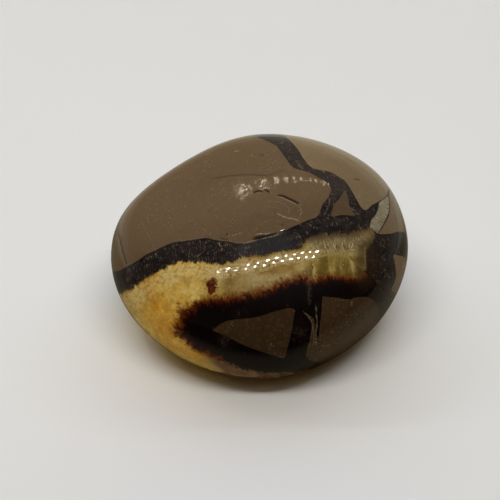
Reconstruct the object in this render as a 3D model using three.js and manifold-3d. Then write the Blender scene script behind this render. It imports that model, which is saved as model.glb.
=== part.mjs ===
// Septarian nodule: one polished stone, a flattened egg with softly worn flats.
// Millimetres, +Z up, the stone's long axis along X, resting on a small flat spot at Z = 0.
import * as THREE from "three";
import { mergeVertices } from "three/addons/utils/BufferGeometryUtils.js";
import Module from "manifold-3d";

const wasm = await Module();
wasm.setup();

// ---- the pebble ---------------------------------------------------------------------------
const HALF_LENGTH = 36.8;        // half axes of the egg before the flats are worn into it
const HALF_WIDTH = 32.5;
const HALF_HEIGHT = 21.2;
const LEAN = THREE.MathUtils.degToRad(15);   // it lies tipped forward, its back edge raised
const REST_DEPTH = 16.7;         // the flat spot lies this far below the egg's centre
const FLAT_BLEND = 14;           // higher is a crisper edge between a flat and the round
const FACET_SPLITS = 19;         // each icosahedron edge is cut 19 times: 8000 facets

// Worn flats: compass angle from +X, angle above the horizon, distance from the centre.
const WORN_FLATS = [
  { where: "back left shoulder", compass: 130, rise: 26, distance: 31.0 },
  { where: "front right edge", compass: -25, rise: -10, distance: 33.1 },
  { where: "right end", compass: 10, rise: 4, distance: 35.3 },
  { where: "low front right", compass: -50, rise: -20, distance: 31.3 },
  { where: "low front left", compass: -128, rise: -20, distance: 37.4 },
  { where: "low back", compass: 78, rise: -36, distance: 25.3 },
  { where: "under the left end", compass: 165, rise: -50, distance: 29.4 },
  { where: "under the right end", compass: 35, rise: -58, distance: 23.6 },
  { where: "crown", compass: -148, rise: 76, distance: 18.7 },
  { where: "underside", compass: 0, rise: -90, distance: 16.8 },
];

// ---- the breaks in the polished skin --------------------------------------------------------
// Points are X, Y across the top of the stone, from the egg's centre.
// An open fissure where the big grey block has parted from its vein.
const FISSURE = { path: [[-2.6, -13.7], [-0.9, -13.4], [2.2, -12.9]], width: 0.9, depth: 1.3 };
// Hairline cracks inside the big block: a short V and a bow beside it.
const V_CRACK = { path: [[-2.9, -0.1], [-1.9, 0.4], [-0.8, -0.1]], width: 0.4, depth: 0.5 };
const V_CRACK_TAIL = { path: [[-0.4, 0.4], [0.8, -0.5]], width: 0.4, depth: 0.5 };
const BOW_CRACK = {
  path: [[2.6, -1.9], [3.7, -2.2], [5.1, -3.2], [7.3, -4.9]], width: 0.45, depth: 0.6,
};
// The crack that parts the right hand block from its chalky neighbour.
const CORNER_CRACK = {
  path: [[29.0, 1.3], [28.6, -1.9], [26.7, -6.7], [25.9, -8.4]], width: 0.5, depth: 0.6,
};
// A shell-shaped chip near the top rim and one pit beside the fissure.
const CHIP = { at: [-1.8, 12.5], length: 3.4, width: 1.0, depth: 0.35 };
const PIT = { at: [-8.9, -11.4], length: 0.8, width: 0.8, depth: 0.4 };

// ---- shape of the skin ----------------------------------------------------------------------
function direction({ compass, rise }) {
  const turn = THREE.MathUtils.degToRad(compass);
  const lift = THREE.MathUtils.degToRad(rise);
  return new THREE.Vector3(
    Math.cos(turn) * Math.cos(lift), Math.sin(turn) * Math.cos(lift), Math.sin(lift),
  );
}

const flats = WORN_FLATS.map((flat) => ({ normal: direction(flat), distance: flat.distance }));
const fromEgg = new THREE.Matrix4().makeRotationX(LEAN)
  .scale(new THREE.Vector3(HALF_LENGTH, HALF_WIDTH, HALF_HEIGHT));
const toEgg = fromEgg.clone().invert();

// 1 on the skin, less inside and more outside, and it grows in step with the distance.
function skinGauge(point) {
  const egg = point.clone().applyMatrix4(toEgg).length();
  let sum = egg ** FLAT_BLEND;
  for (const flat of flats) {
    sum += Math.max(0, flat.normal.dot(point) / flat.distance) ** FLAT_BLEND;
  }
  return sum ** (1 / FLAT_BLEND);
}

// The skin straight above a point of the plan, and the direction that it faces there.
function topAt([x, y]) {
  let low = 0;
  let high = 2 * HALF_HEIGHT;
  for (let step = 0; step < 40; step += 1) {
    const middle = (low + high) / 2;
    if (skinGauge(new THREE.Vector3(x, y, middle)) < 1) low = middle;
    else high = middle;
  }
  const point = new THREE.Vector3(x, y, low);
  const reach = 0.01;
  const normal = new THREE.Vector3();
  for (const axis of ["x", "y", "z"]) {
    const ahead = point.clone();
    ahead[axis] += reach;
    normal[axis] = (skinGauge(ahead) - skinGauge(point)) / reach;
  }
  return { point, normal: normal.normalize() };
}

// ---- solids -----------------------------------------------------------------------------------
function solidOf(geometry) {
  const bare = geometry.clone();
  bare.deleteAttribute("normal");
  bare.deleteAttribute("uv");
  const merged = mergeVertices(bare, 1e-4);
  return new wasm.Manifold(new wasm.Mesh({
    numProp: 3,
    vertProperties: new Float32Array(merged.attributes.position.array),
    triVerts: new Uint32Array(merged.index.array),
  }));
}

function pebble() {
  const ball = new THREE.IcosahedronGeometry(1, FACET_SPLITS);
  const spots = ball.attributes.position;
  const spot = new THREE.Vector3();
  for (let i = 0; i < spots.count; i += 1) {
    spot.fromBufferAttribute(spots, i).applyMatrix4(fromEgg);
    spot.divideScalar(skinGauge(spot));
    spots.setXYZ(i, spot.x, spot.y, spot.z);
  }
  return solidOf(ball);
}

function floorBlock() {
  const block = new THREE.BoxGeometry(4 * HALF_LENGTH, 4 * HALF_WIDTH, HALF_HEIGHT);
  block.translate(0, 0, -REST_DEPTH - HALF_HEIGHT / 2);
  return solidOf(block);
}

// Sets a cutter on the skin: its X along the crack and its Z out of the stone.
function placed(geometry, middle, along) {
  const { point, normal } = topAt(middle);
  const side = new THREE.Vector3().crossVectors(normal, along).normalize();
  const forward = new THREE.Vector3().crossVectors(side, normal);
  const turn = new THREE.Matrix4().makeBasis(forward, side, normal).setPosition(point);
  return solidOf(geometry.applyMatrix4(turn));
}

// One straight run of a crack is a long thin eight-sided wedge that tapers to both ends.
function crackRun(from, to, width, depth) {
  const start = topAt(from).point;
  const end = topAt(to).point;
  const wedge = new THREE.OctahedronGeometry(1);
  wedge.scale(0.6 * start.distanceTo(end), width / 2, depth);
  const middle = [(from[0] + to[0]) / 2, (from[1] + to[1]) / 2];
  return placed(wedge, middle, end.clone().sub(start).normalize());
}

function crackRuns({ path, width, depth }) {
  return path.slice(1).map((to, i) => crackRun(path[i], to, width, depth));
}

// A shallow round hollow, long along X.
function hollow({ at, length, width, depth }) {
  const bowl = new THREE.IcosahedronGeometry(1, 3);
  bowl.scale(length / 2, width / 2, depth);
  return placed(bowl, at, new THREE.Vector3(1, 0, 0));
}

function nodule() {
  const cutters = [
    floorBlock(),
    ...crackRuns(FISSURE),
    ...crackRuns(V_CRACK),
    ...crackRuns(V_CRACK_TAIL),
    ...crackRuns(BOW_CRACK),
    ...crackRuns(CORNER_CRACK),
    hollow(CHIP),
    hollow(PIT),
  ];
  let stone = pebble();
  for (const cutter of cutters) stone = stone.subtract(cutter);
  const mesh = stone.getMesh();
  const geometry = new THREE.BufferGeometry();
  geometry.setAttribute("position", new THREE.BufferAttribute(mesh.vertProperties, 3));
  geometry.setIndex(new THREE.BufferAttribute(mesh.triVerts, 1));

  // The origin is the middle of the footprint, on the surface that the stone rests on.
  geometry.computeBoundingBox();
  const { min, max } = geometry.boundingBox;
  geometry.translate(-(min.x + max.x) / 2, -(min.y + max.y) / 2, -min.z);
  geometry.computeVertexNormals();
  return geometry;
}

const limestone = new THREE.MeshStandardMaterial({ color: 0x6b583f, roughness: 0.25, metalness: 0 });

const stone = new THREE.Mesh(nodule(), limestone);
stone.name = "nodule";

const object = new THREE.Group();
object.add(stone);

export default object;
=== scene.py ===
"""Septarian nodule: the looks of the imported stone.

The polished skin is one closed mesh on the same formula as the CAD solid. Its markings are
closed outlines drawn on the skin: limestone blocks, the calcite between them, and what is
neither is the dark lining. The mesh carries each outline as a signed distance in millimetres,
and the material paints from those distances.
"""
import math

import bpy
import numpy as np
from mathutils import Matrix, Vector, kdtree


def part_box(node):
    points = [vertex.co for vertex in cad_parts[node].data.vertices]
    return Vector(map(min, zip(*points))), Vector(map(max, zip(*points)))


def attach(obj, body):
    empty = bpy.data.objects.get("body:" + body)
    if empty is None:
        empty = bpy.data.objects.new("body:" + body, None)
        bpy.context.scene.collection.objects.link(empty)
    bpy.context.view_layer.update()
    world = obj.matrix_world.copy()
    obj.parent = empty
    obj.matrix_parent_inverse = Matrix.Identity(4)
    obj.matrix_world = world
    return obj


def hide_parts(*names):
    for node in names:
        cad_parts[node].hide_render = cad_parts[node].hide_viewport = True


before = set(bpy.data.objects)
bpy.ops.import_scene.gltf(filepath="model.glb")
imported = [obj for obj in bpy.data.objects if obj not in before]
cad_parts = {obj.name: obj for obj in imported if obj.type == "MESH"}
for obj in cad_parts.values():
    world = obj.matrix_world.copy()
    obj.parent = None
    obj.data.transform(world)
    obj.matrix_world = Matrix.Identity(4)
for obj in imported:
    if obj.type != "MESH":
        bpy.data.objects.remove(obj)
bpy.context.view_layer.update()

MM = 0.001

# ---- the egg with worn flats, in millimetres from its centre ----
HALF_AXES = np.array([36.8, 32.5, 21.2])    # half length, width and height
LEAN = math.radians(15)                     # it lies tipped forward, its back edge raised
REST_DEPTH = 16.7
FLAT_BLEND = 14.0
WORN_FLATS = (          # compass from +X, rise above the horizon, distance
    (130, 26, 31.0),    # back left shoulder
    (-25, -10, 33.1),   # front right edge
    (10, 4, 35.3),      # right end
    (-50, -20, 31.3),   # low front right
    (-128, -20, 37.4),  # low front left
    (78, -36, 25.3),    # low back
    (165, -50, 29.4),   # under the left end
    (35, -58, 23.6),    # under the right end
    (-148, 76, 18.7),   # crown
    (0, -90, 16.8),     # underside
)


def heading(compass, rise):
    turn, lift = math.radians(compass), math.radians(rise)
    return np.array([math.cos(turn) * math.cos(lift), math.sin(turn) * math.cos(lift),
                     math.sin(lift)])


def tipped(points, angle):
    """The points turned about X; a positive angle raises the back."""
    _, y, z = points.T
    return np.stack([points[:, 0], y * math.cos(angle) - z * math.sin(angle),
                     y * math.sin(angle) + z * math.cos(angle)], axis=1)


def gauge(points):
    """1 on the skin, less inside, more outside; it grows in step with the distance."""
    total = np.linalg.norm(tipped(points, -LEAN) / HALF_AXES, axis=1) ** FLAT_BLEND
    for compass, rise, distance in WORN_FLATS:
        reach = np.maximum(0, points @ heading(compass, rise)) / distance
        total = total + reach ** FLAT_BLEND
    return total ** (1 / FLAT_BLEND)


def on_skin(points):
    return points / gauge(points)[:, None]


def facing(points):
    """The outward direction of the skin at points that lie on it."""
    in_egg = tipped(points, -LEAN)
    egg = np.linalg.norm(in_egg / HALF_AXES, axis=1)
    slope = (egg ** (FLAT_BLEND - 2))[:, None] * tipped(in_egg / HALF_AXES ** 2, LEAN)
    for compass, rise, distance in WORN_FLATS:
        normal = heading(compass, rise)
        reach = np.maximum(0, points @ normal) / distance
        slope = slope + (reach ** (FLAT_BLEND - 1))[:, None] * normal / distance
    return slope / np.linalg.norm(slope, axis=1)[:, None]


# ---- the photograph's camera ----
VIEW_RISE = math.radians(40)        # above level, from the front
VIEW_DISTANCE = 400.0
FOCAL_PIXELS = 1680.0
FRAME_PIXELS = 500
LOOK_RIGHT, LOOK_UP = -3.7, 0.9     # the middle of the frame, seen from the egg's centre
SEARCH_REACH = 80.0         # how far before and behind that centre a ray is searched
THIRDS, HALVES = 60, 40     # rounds of narrowing down

RIGHTWARD = np.array([1.0, 0.0, 0.0])
UPWARD = np.array([0.0, math.sin(VIEW_RISE), math.cos(VIEW_RISE)])
TOWARD = np.array([0.0, -math.cos(VIEW_RISE), math.sin(VIEW_RISE)])
EYE = LOOK_RIGHT * RIGHTWARD + LOOK_UP * UPWARD + VIEW_DISTANCE * TOWARD


def seen(*pixels):
    """Skin points under pixels of the 500 x 500 photograph."""
    pixels = np.array(pixels, float) - FRAME_PIXELS / 2
    rays = pixels[:, :1] * RIGHTWARD - pixels[:, 1:] * UPWARD - FOCAL_PIXELS * TOWARD
    rays /= np.linalg.norm(rays, axis=1)[:, None]
    left = np.full(len(rays), VIEW_DISTANCE - SEARCH_REACH)
    right = np.full(len(rays), VIEW_DISTANCE + SEARCH_REACH)
    outside = left
    for _ in range(THIRDS):     # down to the deepest point of each ray
        first, second = left + (right - left) / 3, right - (right - left) / 3
        closer = gauge(EYE + rays * first[:, None]) < gauge(EYE + rays * second[:, None])
        right = np.where(closer, second, right)
        left = np.where(closer, left, first)
    inside = right
    for _ in range(HALVES):     # then to where it enters the stone
        middle = (outside + inside) / 2
        out = gauge(EYE + rays * middle[:, None]) > 1
        outside = np.where(out, middle, outside)
        inside = np.where(out, inside, middle)
    return on_skin(EYE + rays * inside[:, None])


def hidden(*angles):
    """Skin points by compass and rise on the untipped egg, for what the photograph hides."""
    return on_skin(tipped(np.array([heading(*angle) for angle in angles]), LEAN))


# ---- lines and rings on the skin ----
STEP = 0.25     # mm between the points of a drawn line


def smooth(points):
    """An even run of skin points through the given ones (Catmull-Rom)."""
    ends = np.vstack([2 * points[0] - points[1], points, 2 * points[-1] - points[-2]])
    run = []
    for before, start, end, after in zip(ends, ends[1:], ends[2:], ends[3:]):
        count = max(2, int(np.linalg.norm(end - start) / STEP))
        t = (np.arange(count) / count)[:, None]
        run.append(0.5 * (2 * start + (end - before) * t
                          + (2 * before - 5 * start + 4 * end - after) * t ** 2
                          + (3 * start - before - 3 * end + after) * t ** 3))
    return on_skin(np.vstack(run + [points[-1:]]))


def drawn(*lines):
    """Lines of the photograph as runs of skin points, each with the two numbers after it."""
    return [(smooth(seen(*path)), half_width, factor) for *path, half_width, factor in lines]


class Ring:
    """A closed outline on the skin. Its sides are smooth, and they meet at corners."""

    def __init__(self, *sides, traits=None):
        sides = [np.vstack(side) for side in sides]
        traits = traits or [()] * len(sides)
        runs, marks = [], []
        last = sides[-1][-1]
        for side, trait in zip(sides, traits):
            run = smooth(np.vstack([last, side]))[:-1]
            last = side[-1]
            runs.append(run)
            marks.append(np.tile(np.array(trait, float), (len(run), 1)))
        self.points = np.vstack(runs)
        self.marks = np.vstack(marks)

    def holds(self, points):
        """True where a point of the skin lies within the ring."""
        pole = self.points.mean(axis=0)
        pole /= np.linalg.norm(pole)
        side = np.cross(pole, [0.3, 0.5, 0.8])      # any direction across the pole
        side /= np.linalg.norm(side)
        over = np.cross(pole, side)

        def flat(places):
            places = places / np.linalg.norm(places, axis=1)[:, None]
            scale = 1 / np.maximum(1 + places @ pole, 1e-3)
            return np.stack([places @ side * scale, places @ over * scale], axis=1)

        edge, spots = flat(self.points), flat(points)
        low, high = edge.min(axis=0), edge.max(axis=0)
        near = ((spots >= low) & (spots <= high)).all(axis=1)
        x, y = spots[near].T
        odd = np.zeros(len(x), bool)
        for (x0, y0), (x1, y1) in zip(edge, np.roll(edge, -1, axis=0)):
            if y0 != y1:
                odd ^= ((y0 > y) != (y1 > y)) & (x < (x1 - x0) * (y - y0) / (y1 - y0) + x0)
        result = np.zeros(len(points), bool)
        result[near] = odd
        return result


def nearest(points, targets):
    """For each point, the index of the nearest target."""
    tree = kdtree.KDTree(len(targets))
    for index, target in enumerate(targets):
        tree.insert(target, index)
    tree.balance()
    return np.array([tree.find(point)[1] for point in points])


def measure(points, rings):
    """Signed distance to the rings, positive within, and the place and marks of the nearest."""
    starts = np.vstack([ring.points for ring in rings])
    ends = np.vstack([np.roll(ring.points, -1, axis=0) for ring in rings])
    befores = np.vstack([np.roll(ring.points, 1, axis=0) for ring in rings])
    lengths = np.linalg.norm(ends - starts, axis=1)
    along = np.concatenate([[0], np.cumsum(lengths)[:-1]])
    marks = np.vstack([ring.marks for ring in rings])
    found = nearest(points, starts)

    def to_piece(a, b):
        span = b - a
        part = ((points - a) * span).sum(axis=1) / np.maximum((span ** 2).sum(axis=1), 1e-9)
        part = np.clip(part, 0, 1)
        return np.linalg.norm(points - a - part[:, None] * span, axis=1), part

    ahead, part = to_piece(starts[found], ends[found])
    behind, back = to_piece(starts[found], befores[found])
    distance = np.minimum(ahead, behind)
    place = along[found] + np.where(ahead <= behind, part * lengths[found], -back * STEP)
    within = np.zeros(len(points), bool)
    for ring in rings:
        within |= ring.holds(points)
    return np.where(within, distance, -distance), place, marks[found]


# ---- limestone blocks ----
# Each trait is how light the block is.
BLOCKS = {}

BLOCKS["upper left"] = Ring(
    seen((127, 266.5), (137, 261), (146, 254.6), (154, 251), (163, 246.5), (173.5, 242.4),
         (188, 240.4), (206, 238), (216, 240), (233, 242), (247, 243), (255, 241.4),
         (263, 237.3), (277.6, 234.3), (290, 228), (300, 223.7), (306, 221), (316, 217.6)),
    seen((319, 214), (322.3, 204.9), (327.4, 198.5), (330.6, 192), (331.3, 188.3)),
    [seen((328.7, 185), (324.2, 180), (320.4, 179), (312, 174), (304, 171), (294, 168),
          (289, 163), (281.6, 152.7), (275.5, 145.5), (263, 139.4), (257, 136.3)),
     hidden((93, 8), (96, -8), (101, -22))],
    [hidden((112, -31), (128, -36), (146, -34), (160, -26), (171, -16), (180, -8), (186, -4)),
     seen((113.5, 272), (120, 270.5))],
    traits=[(1.0,)] * 4)

BLOCKS["upper right"] = Ring(
    seen((277.6, 134), (290, 140.4), (298, 149.6), (304, 159), (311, 167), (320.4, 170),
         (330.6, 172), (339, 177), (345, 181), (348.5, 185.7), (353, 193), (357, 200),
         (361, 207), (364.4, 210)),
    [seen((367.6, 209.3), (372, 205), (378.4, 201.7), (384.5, 197.6), (387.6, 193.6),
          (388.4, 190.4)), hidden((25.4, 8), (27, -2), (33, -12))],
    hidden((46, -20), (60, -23), (74, -20)),
    hidden((80, -10), (82, 4), (83.5, 13)),
    traits=[(1.24,)] * 4)

BLOCKS["small triangle"] = Ring(
    seen((339.5, 198.5), (333.8, 205.5), (330.6, 215.7)),
    seen((334.4, 216.7), (341, 215), (355.5, 215.7)),
    seen((353, 212), (349.7, 207), (349, 202), (347, 195), (344.6, 190.5)),
    traits=[(0.86,)] * 3)

BLOCKS["right"] = Ring(
    [hidden((25, 8)), seen((388.8, 190.4), (388.8, 195), (389.8, 201), (389.6, 207),
                           (388.6, 216), (385.2, 222), (381.6, 229), (378.6, 234))],
    [seen((387, 234), (393, 233), (398, 231.7), (405, 233)), hidden((3, 4), (2, -2), (8, -8))],
    hidden((18, -9), (25, -3), (25, 8)),
    traits=[(1.14,)] * 3)

BLOCKS["right sliver"] = Ring(
    [seen((393.5, 255), (399.5, 255.6), (404, 257)), hidden((355, 2), (355, -5))],
    hidden((351, -9), (346, -7), (340, 0)),
    seen((391.5, 290), (395.5, 280), (395.6, 269), (394.5, 262)),
    traits=[(1.12,)] * 3)

BLOCKS["lower triangle"] = Ring(
    seen((212, 329.7), (223, 322.6), (232, 320), (241, 319), (253, 317.7), (264, 315),
         (273, 312), (285, 309), (291, 308), (295.3, 310)),
    seen((294, 316), (292, 329), (289.6, 340.5), (287, 349.6), (284.7, 358.4)),
    seen((281, 358), (267, 353.5), (253, 348.6), (242.6, 344.7), (232, 339), (221.6, 334),
         (214.6, 331.4), (212, 329.7)),
    traits=[(0.56,)] * 3)

BLOCKS["lower right"] = Ring(
    [seen((322.3, 296.5), (329, 297), (339, 298), (349.6, 299.6), (355, 297.5), (366.5, 297),
          (373, 299.6), (377, 304.6), (379, 311.6), (378.4, 316.5)),
     hidden((328, -12), (327, -20), (318, -30))],
    hidden((304, -32), (295, -24), (293, -14)),
    seen((320, 362.5), (313, 361.5), (307.5, 358), (305.5, 356.5)),
    seen((307.5, 349), (310.4, 338), (312, 325.6), (309, 319), (302.6, 311.3)),
    seen((309, 315), (313.6, 319), (315.2, 327), (317.2, 337)),
    seen((318.4, 337), (319.4, 329), (320.6, 320), (321.6, 309.5), (322.3, 296.5)),
    traits=[(0.62,)] * 6)

BLOCKS["under"] = Ring(
    hidden((200, -52), (222, -46), (250, -41), (275, -42)),
    hidden((292, -48), (310, -58), (345, -68)),
    hidden((60, -74), (110, -70)),
    hidden((150, -62), (180, -56), (200, -52)),
    traits=[(0.9,)] * 4)

BLOCKS["under right"] = Ring(
    hidden((332, -22), (345, -16), (2, -18), (18, -20)),
    hidden((34, -26), (50, -34), (62, -42)),
    hidden((58, -54), (38, -60), (12, -60)),
    hidden((350, -56), (335, -48), (326, -38), (326, -28), (332, -22)),
    traits=[(0.95,)] * 4)

BLOCKS["under back"] = Ring(
    hidden((70, -38), (78, -34), (92, -36), (104, -44)),
    hidden((118, -53), (112, -60)),
    hidden((96, -62), (76, -60)),
    hidden((70, -48), (70, -38)),
    traits=[(1.05,)] * 4)

# ---- calcite ----
# Each trait is how red and smoky that edge is (below 0: how frosted), and how deep its teeth are.
CALCITE = {}

CALCITE["great vein"] = Ring(
    seen((120, 294.5), (130.6, 289.4), (141, 282.4), (149, 277.6), (155, 274), (163, 269),
         (175.5, 263.4), (188, 262), (202, 262.6), (214, 264), (224.5, 264), (233, 261),
         (243, 258), (253, 256), (263, 256), (273.5, 253), (290, 250.6), (301, 247.6),
         (306, 242), (310, 238), (322, 236), (335, 234), (345, 234), (355, 232.5), (363, 229.5),
         (370.5, 228)),
    seen((374.8, 235), (372.6, 240.5), (369, 245), (366.4, 250), (365.8, 257), (366, 266),
         (364, 273.5)),
    seen((353, 276), (341, 275.4), (329, 275.4), (320, 276), (312, 279.4), (304, 275), (294, 278),
         (284, 280.6), (273.5, 285.6), (263, 289.6), (251, 292.4), (241, 294), (226.5, 296.4),
         (212, 297.4), (202, 300.4), (192, 304)),
    seen((182, 308), (178, 316), (175, 325), (174.6, 333), (180.4, 338.5), (186, 343)),
    seen((192, 348), (201, 353), (211, 356.5), (222, 361)),
    seen((232, 364.8), (245, 369.5), (262, 372.5), (285, 373.4), (300, 371.6), (308, 369)),
    hidden((289, -14), (282, -23), (270, -28), (256, -32), (242, -36), (225, -40),
           (208, -44), (192, -45)),
    hidden((182, -37), (183, -25), (189, -13), (196, -5)),
    traits=[(-1.0, 0.4), (0.0, 0.15), (0.5, 0.6), (1.0, 1.0), (0.6, 0.6), (0.0, 0.7), (0.0, 0.6),
            (0.1, 0.5)])

CALCITE["under left core"] = Ring(
    hidden((160, -36), (146, -42), (130, -44), (118, -40)),
    hidden((118, -44), (132, -50), (150, -52), (168, -46), (190, -42)),
    hidden((186, -32), (172, -32)),
    traits=[(0.6, 0.4), (0.3, 0.4), (0.0, 0.3)])

CALCITE["under front core"] = Ring(
    hidden((306, -37), (314, -35), (322, -42)),
    hidden((332, -54), (338, -61), (326, -57)),
    hidden((312, -48), (306, -37)),
    traits=[(0.6, 0.35)] * 3)

CALCITE["under back core"] = Ring(
    hidden((38, -19), (50, -26), (64, -30), (67, -36)),
    hidden((60, -35), (48, -29), (38, -23)),
    traits=[(0.4, 0.35)] * 2)

CHALKY_PATCH = Ring(
    seen((379, 203), (383, 199.6), (388.4, 195.4)),
    seen((389.6, 201), (389.4, 207), (388.4, 214), (385, 221.5), (381.4, 228), (378, 233.6)),
    seen((374.6, 231), (370, 227)),
    seen((371, 221), (375.3, 215), (378, 209), (379, 203)))

# ---- cracks and scratches ----
# Dark cracks: path, half width and depth in mm.
CRACKS = drawn(
    ((253.5, 238.9), (257, 237.4), (260, 236.9), (263.5, 235.6), 0.85, 0.9),
    ((263.5, 235.6), (269, 235.2), (276.5, 233.2), 0.5, 0.4),
    ((280.5, 232), (284.5, 230.6), 0.42, 0.3),
    ((220, 238.6), (224, 239.2), (228, 239.8), 0.3, 0.3),
    ((253.6, 192.8), (258, 190.8), (262.5, 191.5), 0.42, 0.3),
    ((264.4, 189.6), (269.5, 192.2), 0.4, 0.3),
    ((277.5, 195.3), (282, 195.6), (288.6, 198.5), (294, 201), (298.5, 203.8), 0.48, 0.4),
    ((388.5, 189), (388.5, 195), (389.6, 201), (389.6, 207), (388.5, 215.5),
     (385.2, 221.8), (381.6, 228.5), (378.6, 234), 0.3, 0.3),
    ((210, 179), (220, 177.4), (232, 175.6), (248, 174.6), (265, 175.6), (270, 174.6),
     (276, 172), (284.5, 169.7), 0.28, 0.02),
    ((117.6, 229), (119.4, 237), (121.4, 246), (123.4, 253), (125.6, 261), (127, 266), 0.3, 0.04),
    ((263.3, 321.6), (263.3, 338.4), 0.2, 0.1),
    ((263.2, 341), (263.3, 349.6), 0.14, 0.05),
    ((354, 179.3), (360.5, 179.8), 0.25, 0.2),
    ((261.4, 154.6), (263.4, 155.6), 0.5, 0.4),
    ((281.8, 225), (282.6, 225.2), 0.5, 0.3),
    ((226.7, 234), (227.4, 234.3), 0.6, 0.3),
    ((332, 324.6), (332.4, 325.4), 0.6, 0.15),
    ((328.4, 312), (328.8, 312.4), 0.4, 0.1),
)

# Pale scratches and threads, a painted highlight along a block's edge and painted cleavage flashes:
# path, half width in mm and strength.
SCRATCHES = drawn(
    # the first two are a painted highlight along the lower edge of the upper left block
    ((180, 241), (190, 239.6), (204, 237.4), 0.2, 0.35),
    ((230, 240.6), (234, 242.4), (245, 243), (250, 241.3), (256, 239.6), (264, 238.4),
     (274, 236), (283, 233), 0.2, 0.8),
    ((265, 202), (272, 201.2), (281, 202.6), (288, 207), (289, 214), 0.18, 0.4),
    ((276.5, 213), (283, 216.4), (289, 218), (296, 219.5), (300, 222), 0.3, 0.8),
    ((277, 197), (282, 197.4), (288, 200.4), (297, 205), 0.22, 0.8),
    ((297, 205), (301, 209), (300, 217), 0.18, 0.4),
    ((232, 235.5), (241, 233), 0.24, 0.7),
    ((205, 154.5), (211, 154), 0.24, 0.6),
    ((234, 151.6), (240, 150.6), 0.26, 0.8),
    ((251, 155), (256, 156), (261, 154), 0.34, 0.8),
    ((202.5, 215), (203.6, 212.6), 0.3, 0.7),
    ((143, 224), (150, 238), (155.6, 250), 0.16, 0.4),
    ((302.6, 311.3), (309, 317), (312.4, 326), (310.6, 338), (307.5, 349), 0.2, 0.4),
    ((330, 198), (328, 207), (323.6, 216), 0.2, 0.5),
    ((296, 161), (299.5, 166), (305, 170), 0.3, 0.35),
    ((349.7, 205.5), (352.6, 209.4), (355.5, 210.6), 0.22, 0.7),
    ((219, 242), (219.6, 245), (222, 247.5), (221.4, 251), 0.22, 0.8),
    ((197.5, 256.5), (200.6, 253.6), 0.2, 0.7),
    ((309.2, 274), (309.6, 288), (309.2, 304), 0.8, 0.08),
    ((315.6, 304), (316.4, 314), (317, 324), (315.6, 336), (316.2, 347), 0.26, 0.5),
    ((313.4, 328), (313.8, 338), (313, 347), 0.2, 0.35),
    ((352, 299.5), (351.6, 306), 0.26, 0.7),
    ((370.6, 227.4), (374.6, 231.6), 0.24, 0.9),
    ((369.6, 229.6), (372.6, 233.4), 0.22, 0.7),
    ((371.5, 224.6), (375.4, 227.6), 0.22, 0.7),
    ((358, 224.5), (361, 229.5), 0.2, 0.6),
    # painted highlights: cleavage flashes in the olive calcite
    ((340.6, 250), (341, 262), (341.4, 272), 0.24, 0.4),
    ((352, 247), (352.6, 262), 0.24, 0.4),
    ((364.6, 246), (365, 258), (365.4, 270), 0.26, 0.5),
)

# The shell-shaped chip: its middle, and half sizes along X, across it and into the stone.
CHIP = (seen((257.5, 155.0))[0], (1.7, 0.5, 0.35))

# The red-brown spot: path, half width in mm and strength.
STAIN = drawn(((213.2, 279), (211.8, 285), (210.4, 292), 1.75, 1.0))


def around(radius, *pixels):
    """Spots of a soft field: where each is and its radius, in mm."""
    return [(middle, radius) for middle in seen(*pixels)]


def around_hidden(radius, *angles):
    return [(middle, radius) for middle in hidden(*angles)]


# Soft fields of colour.
FIELDS = {
    # deeper orange calcite in the lower left, partly its own colour and partly a painted glow of
    # light passing through it
    "amber_and_glow": [
        *around(5.5, (166, 322), (176, 342)),
        *around(3.6, (152, 318), (192, 350), (154, 292)),
    ],
    # greyer calcite along the middle of the great vein
    "grey": [
        *around(7.0, (235, 282), (262, 276), (285, 268), (305, 258)),
        *around(4.0, (322, 244)),
    ],
    # olive calcite in the right of it
    "olive": [
        *around(6.5, (335, 262), (350, 258), (360, 262)),
        *around(4.0, (322, 268)),
    ],
    # dusty calcite needles along its upper right edge
    "dusty": around(3.4, (318, 237), (326, 238), (335, 238), (344, 238), (353, 237), (361, 235),
                    (369, 232)),
    # pinkish tan calcite along the front rim
    "blush": [
        *around(3.4, (219, 361)),
        *around(5.0, (248, 374), (260, 376), (278, 376), (298, 372)),
        *around_hidden(9.0, (262, -12), (282, -12)),
    ],
    # lighter limestone towards the back left and along the front right rim; around the lamp glints
    # it is painted highlight haze
    "pale": [
        *around(16.0, (140, 210), (170, 180), (205, 160), (240, 150)),
        *around(5.0, (325, 352), (340, 346), (355, 336), (368, 322), (398, 262), (398, 276)),
        # painted highlight haze around the lamp glints
        *around(6.0, (246, 196), (270, 186), (292, 182), (312, 184)),
    ],
    # finely dimpled polish, which breaks up the mirrored lamps
    "scuffed": [
        *around(2.2, (224, 270), (234, 266)),
        *around(9.0, (236, 204), (250, 196), (290, 178), (308, 182), (324, 187)),
    ],
    # the right end of the great vein, darker
    "dusk": around(2.6, (367, 249), (368, 256), (368, 263), (366, 271), (363, 277)),
    # a grey veil over the upper veins
    "veil": around(5.0, (272, 146), (284, 155), (296, 164), (310, 172), (324, 177), (337, 185)),
    # painted reflection: a lighter grey sheen on the lining above the great vein
    "clear": around(3.2, (246, 254), (256, 251), (265, 249), (274, 247), (284, 245)),
    # pale threads and haze in the dark lining
    "frost": [
        *around(7.0, (128, 284), (148, 268), (172, 255)),
        *around(5.0, (196, 250), (215, 250), (240, 250), (272, 146), (290, 156), (305, 170),
                (322, 177), (340, 186), (355, 203), (326, 208), (345, 224), (362, 222),
                (300, 236), (320, 228), (385, 245), (382, 272), (392, 288)),
        *around(1.8, (238, 306), (226, 340), (300, 334)),
        *around_hidden(6.0, (88, 12), (91, -4), (90, -20), (68, -28), (44, -18), (112, -36),
                       (140, -42), (20, -14), (0, -12), (350, -12), (200, -12), (195, -34)),
    ],
}
FIELD_FALL = 1.6    # a field's radius is this many times the spread of its bell curve


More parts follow.
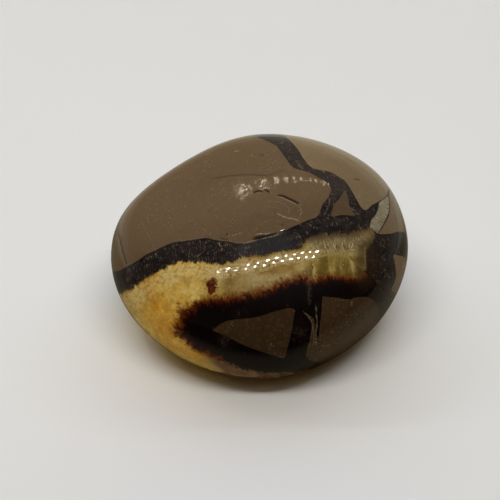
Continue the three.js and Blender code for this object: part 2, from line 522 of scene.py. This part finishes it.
def field(points, spots):
    """How much a point lies in a soft field, from 0 to 1."""
    total = np.zeros(len(points))
    for middle, radius in spots:
        total += np.exp(-((points - middle) ** 2).sum(axis=1) / (2 * (radius / FIELD_FALL) ** 2))
    return np.clip(total, 0, 1)


TIP_WIDTH = 0.45    # how wide the tips of a drawn line are, as a share of its full width
TIP_TAPER = 6       # it widens from there by this share of its width for each of its lengths
LINE_PAD = 2        # mm around a line beyond which its points aren't looked for


def near_lines(points, lines):
    """1 on a line, 0 at its half width from it; and a flat-bottomed one times its third number."""
    strength, scaled = np.zeros(len(points)), np.zeros(len(points))
    for run, half_width, factor in lines:
        low, high = run.min(axis=0), run.max(axis=0)
        reach = np.linalg.norm(high - low) / 2 + LINE_PAD
        close = np.linalg.norm(points - (high + low) / 2, axis=1) < reach
        gaps = np.linalg.norm(points[close][:, None] - run[None], axis=2)
        share = gaps.argmin(axis=1) / (len(run) - 1)
        taper = np.clip(np.minimum(share, 1 - share) * TIP_TAPER + TIP_WIDTH, 0, 1)
        value = np.clip(1 - gaps.min(axis=1) / (half_width * taper), 0, 1)
        strength[close] = np.maximum(strength[close], value)
        scaled[close] = np.maximum(scaled[close], factor * np.clip(value * 2 - 0.5, 0, 1))
    return strength, scaled


# ---- the mesh ----
BASE_SPLITS = 58        # cuts of each icosahedron edge
# How near to drawn lines and outlines an edge is cut once more, in mm.
LINE_REACH = 0.8
OUTLINE_REACH = 0.3
SECOND_LINE_REACH = 0.45
GROOVE_REACH = 0.25
# How a triangle abc falls apart when 1, 2 or 3 of its sides are cut, in their middles m, n and o.
CUT_PARTS = {1: ("amc", "mbc"), 2: ("mbn", "amn", "anc"), 3: ("amo", "mbn", "onc", "mno")}


def geodesic(splits):
    """Corners and triangles of an icosahedron cut finely."""
    golden = (1 + 5 ** 0.5) / 2
    tips = np.array([(-1, golden, 0), (1, golden, 0), (-1, -golden, 0), (1, -golden, 0),
                     (0, -1, golden), (0, 1, golden), (0, -1, -golden), (0, 1, -golden),
                     (golden, 0, -1), (golden, 0, 1), (-golden, 0, -1), (-golden, 0, 1)])
    sides = ((0, 11, 5), (0, 5, 1), (0, 1, 7), (0, 7, 10), (0, 10, 11), (1, 5, 9), (5, 11, 4),
             (11, 10, 2), (10, 7, 6), (7, 1, 8), (3, 9, 4), (3, 4, 2), (3, 2, 6), (3, 6, 8),
             (3, 8, 9), (4, 9, 5), (2, 4, 11), (6, 2, 10), (8, 6, 7), (9, 8, 1))
    grid = [(i, j) for i in range(splits + 1) for j in range(splits + 1 - i)]
    number = {cell: index for index, cell in enumerate(grid)}
    weights = np.array([(splits - i - j, i, j) for i, j in grid]) / splits
    local = []
    for i, j in grid:
        if i + j < splits:
            local.append((number[i, j], number[i + 1, j], number[i, j + 1]))
        if i + j < splits - 1:
            local.append((number[i + 1, j], number[i + 1, j + 1], number[i, j + 1]))
    corners = np.vstack([weights @ tips[list(side)] for side in sides])
    triangles = np.vstack([np.array(local) + k * len(grid) for k in range(len(sides))])
    _, first, same = np.unique(corners.round(6), axis=0, return_index=True, return_inverse=True)
    return corners[first], same.reshape(-1)[triangles]


def halve(corners, triangles, is_near):
    """Cuts each edge whose middle is near something, and the triangles beside it to suit."""
    pairs = np.sort(np.vstack([triangles[:, [0, 1]], triangles[:, [1, 2]],
                               triangles[:, [2, 0]]]), axis=1)
    edges, which = np.unique(pairs, axis=0, return_inverse=True)
    middles = on_skin(corners[edges].mean(axis=1))
    cut = is_near(middles)
    number = np.full(len(edges), -1)
    number[cut] = len(corners) + np.arange(cut.sum())
    mids = number[which.reshape(-1)].reshape(3, -1).T
    count = (mids >= 0).sum(axis=1)
    pieces = [triangles[count == 0]]
    for wanted, parts in CUT_PARTS.items():
        pick = count == wanted
        tri, mid = triangles[pick], mids[pick]
        if wanted == 1:
            shift = (mid >= 0).argmax(axis=1)
        elif wanted == 2:
            shift = ((mid < 0).argmax(axis=1) + 1) % 3
        else:
            shift = np.zeros(len(tri), int)
        order = (np.arange(3)[None] + shift[:, None]) % 3
        spots = np.hstack([np.take_along_axis(tri, order, 1), np.take_along_axis(mid, order, 1)])
        pieces += [spots[:, ["abcmno".index(letter) for letter in part]] for part in parts]
    return np.vstack([corners, middles[cut]]), np.vstack(pieces)


def is_within(points, targets, reach):
    """True where a point is within reach of any target."""
    found = nearest(points, targets)
    return np.linalg.norm(points - targets[found], axis=1) < reach


def skin_mesh():
    """Corners and triangles of the whole skin, finest along the cracks."""
    corners, triangles = geodesic(BASE_SPLITS)
    corners = on_skin(tipped(corners / np.linalg.norm(corners, axis=1)[:, None] * HALF_AXES, LEAN))
    rings = [*BLOCKS.values(), *CALCITE.values(), CHALKY_PATCH]
    outlines = np.vstack([ring.points for ring in rings])
    grooves = np.vstack([run for run, _, _ in CRACKS])
    lines = np.vstack([run for run, _, _ in CRACKS + SCRATCHES])
    corners, triangles = halve(corners, triangles, lambda p: is_within(p, lines, LINE_REACH)
                               | is_within(p, outlines, OUTLINE_REACH))
    for targets, reach in ((lines, SECOND_LINE_REACH), (grooves, GROOVE_REACH)):
        corners, triangles = halve(corners, triangles, lambda p: is_within(p, targets, reach))
    return corners, triangles


def chipped(points):
    """How deep the chip is at each point."""
    middle, (half_long, half_wide, depth) = CHIP
    across = points - middle
    along = across[:, 0] / half_long
    side = np.linalg.norm(across[:, 1:], axis=1) / half_wide
    return depth * np.clip(1 - along ** 2 - side ** 2, 0, 1)


def markings(corners):
    """What the material paints from, at each corner; and how deep the cracks are there."""
    slab, slab_place, slab_marks = measure(corners, list(BLOCKS.values()))
    rim, rim_place, rim_marks = measure(corners, list(CALCITE.values()))
    chalk, _, _ = measure(corners, [CHALKY_PATCH])
    crack, groove = near_lines(corners, CRACKS)
    _, scratch = near_lines(corners, SCRATCHES)
    stain, _ = near_lines(corners, STAIN)
    values = {
        "limestone": slab, "limestone_along": slab_place, "tone": slab_marks[:, 0],
        "calcite": rim, "calcite_along": rim_place, "burn": rim_marks[:, 0],
        "teeth": rim_marks[:, 1], "chalk": chalk, "crack": crack, "scratch": scratch,
        "stain": stain,
    }
    values |= {name: field(corners, spots) for name, spots in FIELDS.items()}
    return values, groove


def shown(data):
    """An object that shows the mesh, lamp or camera in the scene."""
    thing = bpy.data.objects.new(data.name, data)
    bpy.context.collection.objects.link(thing)
    return thing


def build_stone():
    """The stone, and where the egg's centre comes to lie in the frame, in mm."""
    corners, triangles = skin_mesh()
    values, groove = markings(corners)
    shaped = corners - facing(corners) * (groove + chipped(corners))[:, None]
    shaped[:, 2] = np.maximum(shaped[:, 2], -REST_DEPTH)

    low, high = (np.array(corner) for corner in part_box("nodule"))
    middle = (corners.max(axis=0) + corners.min(axis=0)) / 2
    origin = np.append((low + high)[:2] / 2 / MM - middle[:2], REST_DEPTH + low[2] / MM)

    mesh = bpy.data.meshes.new("nodule_skin")
    mesh.from_pydata(((shaped + origin) * MM).tolist(), [], triangles.tolist())
    for name, value in values.items():
        layer = mesh.attributes.new(name, "FLOAT", "POINT")
        layer.data.foreach_set("value", value.astype(np.float32))
    mesh.polygons.foreach_set("use_smooth", np.ones(len(triangles), bool))
    mesh.update()
    return shown(mesh), origin


# ---- the material ----
def srgb(red, green, blue):
    """A colour given as it looks on screen, in the linear numbers that shaders take."""
    def linear(value):
        value /= 255
        return value / 12.92 if value <= 0.04045 else ((value + 0.055) / 1.055) ** 2.4
    return (linear(red), linear(green), linear(blue), 1.0)


class Painter:
    """Adds nodes to a material or to the world; each call returns the new node's output."""

    def __init__(self, owner):
        self.tree = owner.node_tree
        self.place = None       # where textures are read, in mm
        self.wavy = None        # the same, bent by a swirl

    def add(self, kind, *inputs, output=0, **settings):
        node = self.tree.nodes.new(kind)
        for name, value in settings.items():
            setattr(node, name, value)
        for socket, value in inputs:
            if isinstance(value, bpy.types.NodeSocket):
                self.tree.links.new(value, node.inputs[socket])
            else:
                node.inputs[socket].default_value = value
        return node.outputs[output]

    def attribute(self, name):
        return self.add("ShaderNodeAttribute", attribute_name=name, output="Fac")

    def math(self, operation, first, second=0.0, third=0.0):
        return self.add("ShaderNodeMath", (0, first), (1, second), (2, third), operation=operation)

    def times(self, first, second):
        return self.math("MULTIPLY", first, second)

    def scaled(self, value, factor, plus):
        return self.math("MULTIPLY_ADD", value, factor, plus)

    def step(self, value, low, high):
        """Rises smoothly from 0 at low to 1 at high."""
        return self.add("ShaderNodeMapRange", ("Value", value), ("From Min", low),
                        ("From Max", high), interpolation_type="SMOOTHSTEP")

    def mix(self, amount, under, over, blend="MIX"):
        return self.add("ShaderNodeMix", (0, amount), (6, under), (7, over), output=2,
                        data_type="RGBA", blend_type=blend, clamp_factor=True)

    def tint(self, colour, cover, share, *shade):
        """The colour with a shade over it, to that share where the cover is 1."""
        return self.mix(self.times(cover, share), colour, srgb(*shade))

    def shaded(self, colour, shade):
        return self.mix(1.0, colour, self.vector(shade, shade, shade), "MULTIPLY")

    def ramp(self, value, *stops):
        """Each stop is a position and a colour as it looks on screen."""
        node = self.tree.nodes.new("ShaderNodeValToRGB")
        self.tree.links.new(value, node.inputs[0])
        elements = node.color_ramp.elements
        while len(elements) < len(stops):
            elements.new(0.5)
        for element, (position, *colour) in zip(elements, stops):
            element.position = position
            element.color = srgb(*colour)
        return node.outputs[0]

    def vector(self, x, y, z=0.0):
        return self.add("ShaderNodeCombineXYZ", (0, x), (1, y), (2, z))

    def grain(self, along, width, away, length, layer=0.0):
        """A place whose unit is width mm along an outline and length mm away from it."""
        return self.vector(self.math("DIVIDE", along, width), self.math("DIVIDE", away, length),
                           layer)

    def noise(self, size, detail=2.0, place=None, distortion=0.0):
        """Noise of 0 to 1 whose lumps are about size mm wide."""
        return self.add("ShaderNodeTexNoise", ("Vector", place or self.place),
                        ("Scale", 1 / size), ("Detail", detail), ("Roughness", 0.55),
                        ("Distortion", distortion))

    def cells(self, size, place=None, output="Distance", distance="EUCLIDEAN"):
        return self.add("ShaderNodeTexVoronoi", ("Vector", place or self.place),
                        ("Scale", 1 / size), output=output, distance=distance)


def limestone_colour(paint, tone, pale):
    """Fine-grained grey-brown with rusty mottling, pale dust specks and a few dark pores."""
    colour = paint.ramp(paint.times(tone, 0.5), (0.20, 43, 31, 15), (0.35, 66, 50, 32),
                        (0.50, 92, 74, 51), (0.62, 114, 96, 69))
    rusty = paint.step(paint.noise(0.9, 3), 0.50, 0.72)
    colour = paint.tint(colour, rusty, 0.22, 122, 84, 50)
    # the pale field lightens the limestone; around the lamp glints that is painted highlight haze
    shade = paint.scaled(paint.noise(8.0, 2), 0.16, paint.scaled(pale, 0.22, 0.66))
    shade = paint.scaled(paint.noise(1.3, 3), 0.26, shade)
    shade = paint.scaled(paint.noise(0.3, 2), 0.42, paint.math("SUBTRACT", shade, 0.07))
    colour = paint.shaded(colour, shade)
    dusty = paint.step(paint.noise(4.0, 2), 0.42, 0.66)
    speck = paint.times(paint.step(paint.cells(0.65), 0.19, 0.09), dusty)
    colour = paint.tint(colour, speck, 0.7, 184, 170, 140)
    pore = paint.step(paint.cells(2.3), 0.075, 0.04)
    return paint.tint(colour, pore, 0.7, 34, 22, 12)


def lining_colour(paint, rim, rim_along, slab, slab_along, fields):
    """Near-black brown; where it is frosted, pale threads and specks stand across the band."""
    frost = fields["frost"]
    from_calcite = paint.grain(rim_along, 0.15, rim, 1.7)
    from_block = paint.grain(slab_along, 0.16, slab, 1.9, 7.0)
    threads = paint.math("MAXIMUM", paint.noise(1.0, 1, from_calcite),
                         paint.noise(1.0, 1, from_block))
    patchy = paint.noise(1.1, 2)
    haze = paint.times(frost, paint.step(paint.noise(2.6, 3), 0.25, 0.75))
    colour = paint.mix(haze, srgb(10, 5, 4), srgb(39, 29, 25))
    colour = paint.tint(colour, fields["veil"], 0.38, 72, 60, 53)
    # painted reflection: the clear field greys the lining as a sheen would
    colour = paint.tint(colour, fields["clear"], 0.32, 68, 68, 67)
    bright = paint.times(paint.step(threads, 0.56, 0.80), paint.step(patchy, 0.44, 0.62))
    bright = paint.times(bright, paint.scaled(frost, 0.50, 0.02))
    colour = paint.mix(bright, colour, srgb(152, 138, 120))
    speck = paint.times(paint.step(paint.cells(0.5), 0.20, 0.08), paint.step(patchy, 0.46, 0.60))
    speck = paint.times(speck, paint.scaled(frost, 0.42, 0.03))
    return paint.mix(speck, colour, srgb(156, 145, 124))


def calcite_body(paint, lumps, rim, rim_along, fields):
    """Honey in the left, golden at its heart, paler in the middle and olive blades in the right."""
    honey = paint.ramp(lumps, (0.34, 196, 158, 70), (0.50, 206, 172, 84), (0.66, 214, 186, 106))
    golden = paint.ramp(lumps, (0.34, 206, 150, 50), (0.50, 214, 166, 66), (0.66, 220, 178, 82))
    middle = paint.ramp(lumps, (0.34, 140, 112, 56), (0.50, 158, 134, 78), (0.66, 172, 152, 104))
    blades = paint.noise(1.0, 1, paint.grain(rim_along, 1.9, rim, 9.0, 3.0))
    green = paint.ramp(blades, (0.36, 110, 88, 34), (0.50, 138, 116, 52), (0.62, 176, 160, 96))
    # the deeper orange here is partly a painted glow of light through the calcite
    colour = paint.mix(fields["amber_and_glow"], honey, golden)
    colour = paint.mix(fields["grey"], colour, middle)
    return paint.mix(fields["olive"], colour, green)


def crumbled(paint, colour, rim, burn):
    """Crumbs of crystal towards the frosted edge, with dark gaps, sugary tops and flashes, which
    are painted highlights.
    """
    crumbly = paint.times(paint.step(rim, 9.0, 3.0), paint.step(burn, 0.1, -0.6))
    gap = paint.times(paint.step(paint.cells(1.4, paint.wavy), 0.40, 0.70), crumbly)
    colour = paint.tint(colour, gap, 0.5, 146, 108, 40)
    sugary = paint.times(paint.step(rim, 6.0, 2.4), paint.step(rim, 0.0, 1.2))
    sugary = paint.times(sugary, paint.step(paint.noise(0.6, 2), 0.36, 0.62))
    sugary = paint.times(sugary, paint.step(burn, -0.2, -0.8))
    colour = paint.tint(colour, sugary, 0.5, 218, 202, 146)
    # painted highlights: bright flashes off the crystal faces
    flash = paint.times(paint.step(paint.cells(0.8), 0.22, 0.08),
                        paint.step(paint.noise(2.4, 1), 0.52, 0.66))
    return paint.tint(colour, flash, 0.55, 238, 220, 164)


def calcite_colour(paint, rim, rim_along, burn, fields):
    """Facets and crooked fibres shade the vein; dusty needles, dusk and tan lie over it."""
    lumps = paint.noise(4.2, 1, distortion=0.5)
    colour = calcite_body(paint, lumps, rim, rim_along, fields)
    crooked = paint.scaled(paint.noise(0.9, 2), 3.2, paint.math("DIVIDE", rim_along, 0.36))
    fibres = paint.noise(1.0, 2, paint.vector(crooked, paint.math("DIVIDE", rim, 1.1), 5.0))
    shade = paint.scaled(fibres, 0.24, 0.45)
    shade = paint.scaled(paint.cells(2.3, paint.wavy, "Color"), 0.18, shade)
    shade = paint.scaled(paint.cells(0.8, paint.wavy, "Color"), 0.34, shade)
    shade = paint.scaled(paint.noise(0.4, 2), 0.34, shade)
    colour = crumbled(paint, paint.shaded(colour, shade), rim, burn)

    straw = paint.noise(1.0, 2, paint.vector(paint.times(crooked, 1.3),
                                             paint.math("DIVIDE", rim, 2.2), 8.0))
    needles = paint.ramp(straw, (0.34, 80, 66, 40), (0.50, 128, 110, 70), (0.64, 182, 164, 122))
    needles = paint.mix(paint.step(rim, 2.6, 0.2), needles, srgb(74, 60, 40))
    colour = paint.mix(paint.times(fields["dusty"], 0.9), colour, needles)
    colour = paint.tint(colour, fields["dusk"], 0.6, 98, 80, 46)
    tan = paint.ramp(lumps, (0.30, 92, 66, 42), (0.52, 116, 88, 60), (0.70, 140, 112, 80))
    return paint.mix(fields["blush"], colour, tan)


def crystal_edge(paint, rim, rim_along, burnt, teeth):
    """Depth into the calcite with its teeth: square blocks where it is burnt, else needles."""
    block = paint.cells(1.0, paint.grain(rim_along, 0.8, rim, 1.3), "Color", distance="CHEBYCHEV")
    fine = paint.cells(1.0, paint.grain(rim_along, 0.34, rim, 0.6, 5.0), "Color")
    crooked = paint.scaled(paint.noise(0.8, 2), 3.0, paint.math("DIVIDE", rim_along, 0.22))
    needle = paint.noise(1.0, 1, paint.vector(crooked, paint.math("DIVIDE", rim, 1.5), 9.0))
    jag = paint.math("ADD", paint.scaled(block, 2.0, -1.0), paint.scaled(fine, 1.2, -0.6))
    frayed = paint.times(paint.scaled(needle, 3.2, -1.6), paint.scaled(burnt, -0.8, 1.0))
    return paint.scaled(paint.math("ADD", jag, frayed), teeth, rim)


def smoky_colour(paint, edge, burnt, lining, calcite):
    """Orange-brown crystals redden and fade into the black, the more so the more burnt."""
    spread = paint.scaled(burnt, 2.2, 0.9)
    smoke = paint.ramp(paint.math("ADD", paint.math("DIVIDE", edge, spread), 1.0), (0.0, 12, 5, 4),
                       (0.24, 32, 9, 4), (0.46, 56, 18, 4), (0.66, 80, 33, 7), (0.84, 100, 56, 14),
                       (1.0, 124, 82, 30))
    singed = paint.times(paint.step(edge, 1.5, 0.0), paint.step(burnt, 0.0, 0.5))
    singed = paint.mix(singed, calcite, srgb(194, 168, 146), "MULTIPLY")
    smoky = paint.mix(paint.step(edge, -4.4, -2.8), lining, smoke)
    return paint.mix(paint.step(edge, -0.3, 0.4), smoky, singed)


def vein_colour(paint, slab, slab_along, fields):
    """The dark lining and the calcite within it, with the red-brown spot."""
    rim, rim_along = paint.attribute("calcite"), paint.attribute("calcite_along")
    burn, teeth = paint.attribute("burn"), paint.attribute("teeth")
    burnt = paint.math("MAXIMUM", burn, 0.0)
    edge = crystal_edge(paint, rim, rim_along, burnt, teeth)
    lining = lining_colour(paint, rim, rim_along, slab, slab_along, fields)
    calcite = calcite_colour(paint, rim, rim_along, burn, fields)
    plain = paint.tint(lining, paint.step(edge, -0.9, 0.1), 0.45, 70, 52, 28)
    plain = paint.mix(paint.step(edge, -0.3, 0.35), plain, calcite)
    smoky = smoky_colour(paint, edge, burnt, lining, calcite)
    vein = paint.mix(paint.step(burn, 0.0, 0.45), plain, smoky)
    vein = paint.tint(vein, fields["dusk"], 0.45, 58, 42, 24)
    ragged = paint.scaled(paint.noise(0.9, 3), 1.3, -0.68)
    blot = paint.math("ADD", paint.attribute("stain"), ragged)
    rust = paint.ramp(paint.noise(0.8, 2), (0.35, 52, 16, 4), (0.65, 104, 46, 12))
    return paint.mix(paint.step(blot, 0.12, 0.5), vein, rust)


def chalk_colour(paint, slab, slab_along):
    """Pale strokes that stand across the patch."""
    strokes = paint.noise(1.0, 2, paint.grain(slab_along, 0.22, slab, 1.6, 2.0))
    return paint.ramp(strokes, (0.34, 66, 56, 40), (0.50, 122, 112, 86), (0.66, 176, 168, 140))


def polish(paint, shader, is_block, is_chalk, crack, scuffed):
    """The crystal takes a glassier polish than the limestone; chalk and cracks stay rough."""
    roughness = paint.scaled(is_block, 0.03, 0.02)
    roughness = paint.scaled(paint.noise(0.5, 2), 0.03, roughness)
    roughness = paint.scaled(is_chalk, 0.25, roughness)
    roughness = paint.scaled(crack, 0.4, roughness)
    paint.tree.links.new(roughness, shader.inputs["Roughness"])
    scuffs = paint.scaled(scuffed, 1.5, 0.05)
    ripple = paint.scaled(paint.noise(0.9, 1), scuffs, paint.noise(2.2, 2))
    bump = paint.add("ShaderNodeBump", ("Strength", 0.04), ("Distance", 0.0002), ("Height", ripple))
    paint.tree.links.new(bump, shader.inputs["Normal"])
    shader.inputs["IOR"].default_value = 1.5


def set_places(paint):
    """Textures are read from the stone's own place in mm, or from that bent by a swirl."""
    spot = paint.add("ShaderNodeTexCoord", output="Object")
    paint.place = paint.add("ShaderNodeVectorMath", (0, spot), (3, 1 / MM), operation="SCALE")
    swirl = paint.add("ShaderNodeTexNoise", ("Vector", paint.place), ("Scale", 0.8),
                      ("Detail", 2.0), output="Color")
    swirl = paint.add("ShaderNodeVectorMath", (0, swirl), (3, 1.6), operation="SCALE")
    paint.wavy = paint.add("ShaderNodeVectorMath", (0, paint.place), (1, swirl), operation="ADD")


def stone_material():
    material = bpy.data.materials.new("septarian_stone")
    material.use_nodes = True
    shader = material.node_tree.nodes["Principled BSDF"]
    paint = Painter(material)
    set_places(paint)
    slab, slab_along = paint.attribute("limestone"), paint.attribute("limestone_along")
    fields = {name: paint.attribute(name) for name in FIELDS}

    is_block = paint.step(slab, -0.06, 0.06)
    is_chalk = paint.step(paint.attribute("chalk"), -0.1, 0.1)
    crack = paint.step(paint.attribute("crack"), 0.35, 0.7)
    scratch = paint.times(paint.attribute("scratch"), paint.step(paint.noise(0.5, 1), 0.3, 0.6))

    colour = paint.mix(is_block, vein_colour(paint, slab, slab_along, fields),
                       limestone_colour(paint, paint.attribute("tone"), fields["pale"]))
    colour = paint.mix(is_chalk, colour, chalk_colour(paint, slab, slab_along))
    colour = paint.mix(scratch, colour, srgb(170, 152, 120))
    colour = paint.tint(colour, crack, 0.95, 18, 12, 8)
    paint.tree.links.new(colour, shader.inputs["Base Color"])
    polish(paint, shader, is_block, is_chalk, crack, fields["scuffed"])
    return material


# ---- floor, light and camera ----
FLOOR_WHITE = srgb(232, 232, 230)
TENT_WHITE = (0.74, 0.74, 0.73, 1)      # what the camera sees past the floor
# Depths in metres over which the mirrored floor brightens, in front of the stone and behind it.
IN_FRONT, BEHIND = (-0.064, -0.040), (0.03, 0.08)
FADE_OUT = (0.3, 0.9)       # how far off the floor fades into the tent, so no horizon shows
# What the polish mirrors of the tent.
TENT_FRONT, TENT_BACK = (0.025, 0.022, 0.018, 1), (0.18, 0.17, 0.14, 1)
TENT_HORIZON, TENT_TOP = (0.40, 0.38, 0.33, 1), (0.13, 0.13, 0.13, 1)
SHADOW_GLOW = (0.10, 0.058, 0.02, 1)    # how the tent lights the shadow


def floor_material():
    """White to the camera. The polish mirrors it darker, the more so towards the front."""
    material = bpy.data.materials.new("floor_white")
    material.use_nodes = True
    shader = material.node_tree.nodes["Principled BSDF"]
    paint = Painter(material)
    place = paint.add("ShaderNodeNewGeometry", output="Position")
    depth = paint.add("ShaderNodeSeparateXYZ", (0, place), output="Y")
    dim = paint.mix(paint.step(depth, *IN_FRONT), srgb(20, 18, 15), srgb(116, 110, 94))
    dim = paint.mix(paint.step(depth, *BEHIND), dim, srgb(196, 192, 180))
    mirrored = paint.add("ShaderNodeLightPath", output="Is Glossy Ray")
    colour = paint.mix(mirrored, FLOOR_WHITE, dim)
    far = paint.step(paint.add("ShaderNodeVectorMath", (0, place), output="Value",
                               operation="LENGTH"), *FADE_OUT)
    far = paint.times(far, paint.add("ShaderNodeLightPath", output="Is Camera Ray"))
    colour = paint.mix(far, colour, (0, 0, 0, 1))
    paint.tree.links.new(colour, shader.inputs["Base Color"])
    paint.tree.links.new(far, shader.inputs["Emission Strength"])
    shader.inputs["Emission Color"].default_value = TENT_WHITE
    shader.inputs["Roughness"].default_value = 0.7
    shader.inputs["Specular IOR Level"].default_value = 0.0
    return material


def build_floor():
    bpy.ops.mesh.primitive_plane_add(size=6.0, location=(0, 0, 0))
    floor = bpy.context.object
    floor.name = "floor"
    floor.data.materials.append(floor_material())


# The lamps, in mm from the egg's centre.
LAMP_HEIGHT = 300.0         # of the rows, which hang level
TENT_REACH = 700.0          # of the soft panels
LED_RADIUS = 2.2
ROW_TURN = math.radians(1.5)        # how far the rows are turned from the stone's length


def lamp_row(name, centre, across, first, last, count, power, lights=True, mirrored=True,
             tint=(1.0, 1.0, 1.0)):
    """A row of small lamps that shine straight down. Some only light, some only show mirrored."""
    along = np.array([math.cos(ROW_TURN), math.sin(ROW_TURN), 0])
    aside = np.array([-math.sin(ROW_TURN), math.cos(ROW_TURN), 0])
    for index, reach in enumerate(np.linspace(first, last, count)):
        data = bpy.data.lights.new(f"{name}_{index}", "AREA")
        data.shape = "DISK"
        data.size = 2 * LED_RADIUS * MM
        data.energy = power
        data.color = tint
        lamp = shown(data)
        spot = centre + reach * along + across * aside + np.array([0, 0, LAMP_HEIGHT])
        lamp.location = spot * MM
        lamp.visible_diffuse = lights
        lamp.visible_glossy = mirrored


def soft_panel(name, centre, compass, rise, width, height, glow):
    """A wide panel of the light tent, turned to the stone. Polish doesn't mirror it."""
    data = bpy.data.lights.new(name, "AREA")
    data.shape = "RECTANGLE"
    data.size, data.size_y = width * MM, height * MM
    data.color = [level / max(glow) for level in glow]
    data.energy = math.pi * data.size * data.size_y * max(glow)
    lamp = shown(data)
    toward = Vector(heading(compass, rise))
    lamp.matrix_world = Matrix.Translation((Vector(centre) + TENT_REACH * toward) * MM) \
        @ toward.to_track_quat("Z", "Y").to_matrix().to_4x4()
    lamp.visible_glossy = False


def build_lamps(origin):
    # Two strips over the stone, which it mirrors as rows of dots.
    lamp_row("over_back", origin, -64, 126, -134, 12, 0.0175)
    lamp_row("over_front", origin, -86, 121, -139, 12, 0.0175)
    # A warm row further back only shows mirrored, as the glints on the limestone.
    lamp_row("glint", origin, 237, 130, -104, 12, 0.0022, lights=False, tint=(1.0, 0.86, 0.64))
    # Rows by the side walls only light.
    lamp_row("left_wall", origin, 150, -200, -440, 5, 0.0545, mirrored=False)
    lamp_row("right_wall", origin, 150, 200, 440, 5, 0.038, mirrored=False)
    soft_panel("back_low", origin, 90, 10, 1300, 240, (3.1, 2.6, 0.7))
    soft_panel("back_high", origin, 90, 44, 1300, 500, (0.80, 1.00, 1.50))
    soft_panel("top", origin, 90, 89.9, 900, 800, (0.46, 0.46, 0.40))


def build_sky():
    """Pale to the camera, a dim tent in mirrors and a warm glow in the shadow."""
    world = bpy.data.worlds.new("tent")
    bpy.context.scene.world = world
    world.use_nodes = True
    world.node_tree.nodes.clear()
    paint = Painter(world)
    toward = paint.add("ShaderNodeTexCoord", output="Generated")
    rise = paint.add("ShaderNodeSeparateXYZ", (0, toward), output="Z")
    back = paint.step(paint.add("ShaderNodeSeparateXYZ", (0, toward), output="Y"), -0.3, 0.6)
    tent = paint.mix(back, TENT_FRONT, TENT_BACK)
    horizon = paint.times(back, paint.step(rise, 0.35, 0.0))
    tent = paint.mix(horizon, tent, TENT_HORIZON)
    tent = paint.mix(paint.step(rise, 0.45, 1.0), tent, TENT_TOP)
    mirrored = paint.add("ShaderNodeLightPath", output="Is Glossy Ray")
    tent = paint.mix(mirrored, SHADOW_GLOW, tent)
    seen_direct = paint.add("ShaderNodeLightPath", output="Is Camera Ray")
    colour = paint.mix(seen_direct, tent, TENT_WHITE)
    glow = paint.add("ShaderNodeBackground", ("Color", colour), ("Strength", 1.0))
    output = paint.tree.nodes.new("ShaderNodeOutputWorld")
    paint.tree.links.new(glow, output.inputs["Surface"])


def build_camera(origin):
    data = bpy.data.cameras.new("photo_camera")
    data.sensor_width = 36.0
    data.lens = FOCAL_PIXELS / FRAME_PIXELS * data.sensor_width
    data.clip_start = 0.01
    camera = shown(data)
    turn = Matrix((RIGHTWARD, UPWARD, TOWARD)).transposed().to_4x4()
    camera.matrix_world = Matrix.Translation(Vector((EYE + origin) * MM)) @ turn
    bpy.context.scene.camera = camera


def main():
    stone, origin = build_stone()
    stone.data.materials.append(stone_material())
    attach(stone, "root")
    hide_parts("nodule")
    build_floor()
    build_sky()
    build_lamps(origin)
    build_camera(origin)
    bpy.context.scene.view_settings.view_transform = "Standard"


main()
